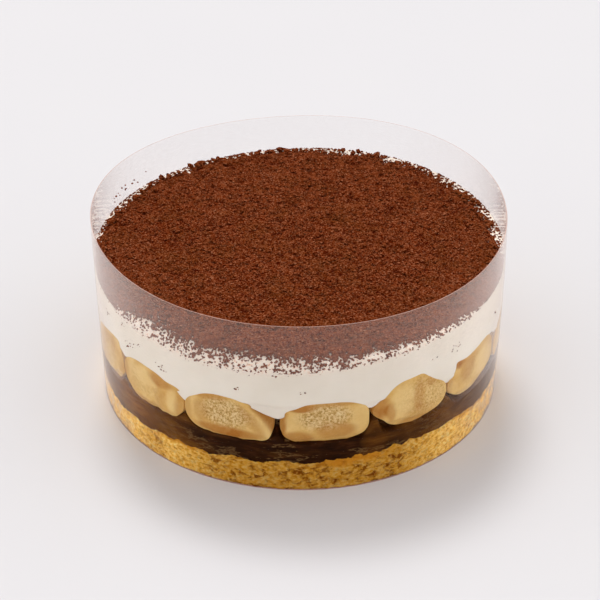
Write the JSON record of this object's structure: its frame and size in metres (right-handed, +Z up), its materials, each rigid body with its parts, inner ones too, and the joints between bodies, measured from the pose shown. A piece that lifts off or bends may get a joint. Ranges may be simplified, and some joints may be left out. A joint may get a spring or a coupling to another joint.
{
  "type": "banoffee cake",
  "caption": "Round layer cake of sponge, caramel, banana chunks and whipped cream, dusted with cocoa, in a tall clear film collar.",
  "frame": {"origin": "under the centre of the collar's outline, on the surface that the cake stands on", "axes": "+Z up, -Y towards the front that the picture shows, +X to the right seen from the front"},
  "size_m": [0.2034, 0.205, 0.094],
  "materials": {
    "sponge": "golden-brown baked sponge with fine open pores",
    "toffee": "very dark caramel, glossy where it touches the film",
    "banana": "moist banana flesh, pale with tan and orange-brown patches and fine dark specks",
    "whipped_cream": "smooth white whipped cream",
    "cocoa_powder": "loose lumpy cocoa powder, reddish brown and fully matt",
    "clear_film": "thin clear glossy acetate film"
  },
  "bodies": {
    "root": {"sponge_base": "sponge", "caramel": "toffee", "cream": "whipped_cream", "cocoa": "cocoa_powder", "collar": "clear_film", "banana_01": "banana", "banana_02": "banana", "banana_03": "banana", "banana_04": "banana", "banana_05": "banana", "banana_06": "banana", "banana_07": "banana", "banana_08": "banana", "banana_09": "banana", "banana_10": "banana", "banana_11": "banana", "banana_12": "banana", "banana_13": "banana", "banana_14": "banana"}
  },
  "joints": []
}
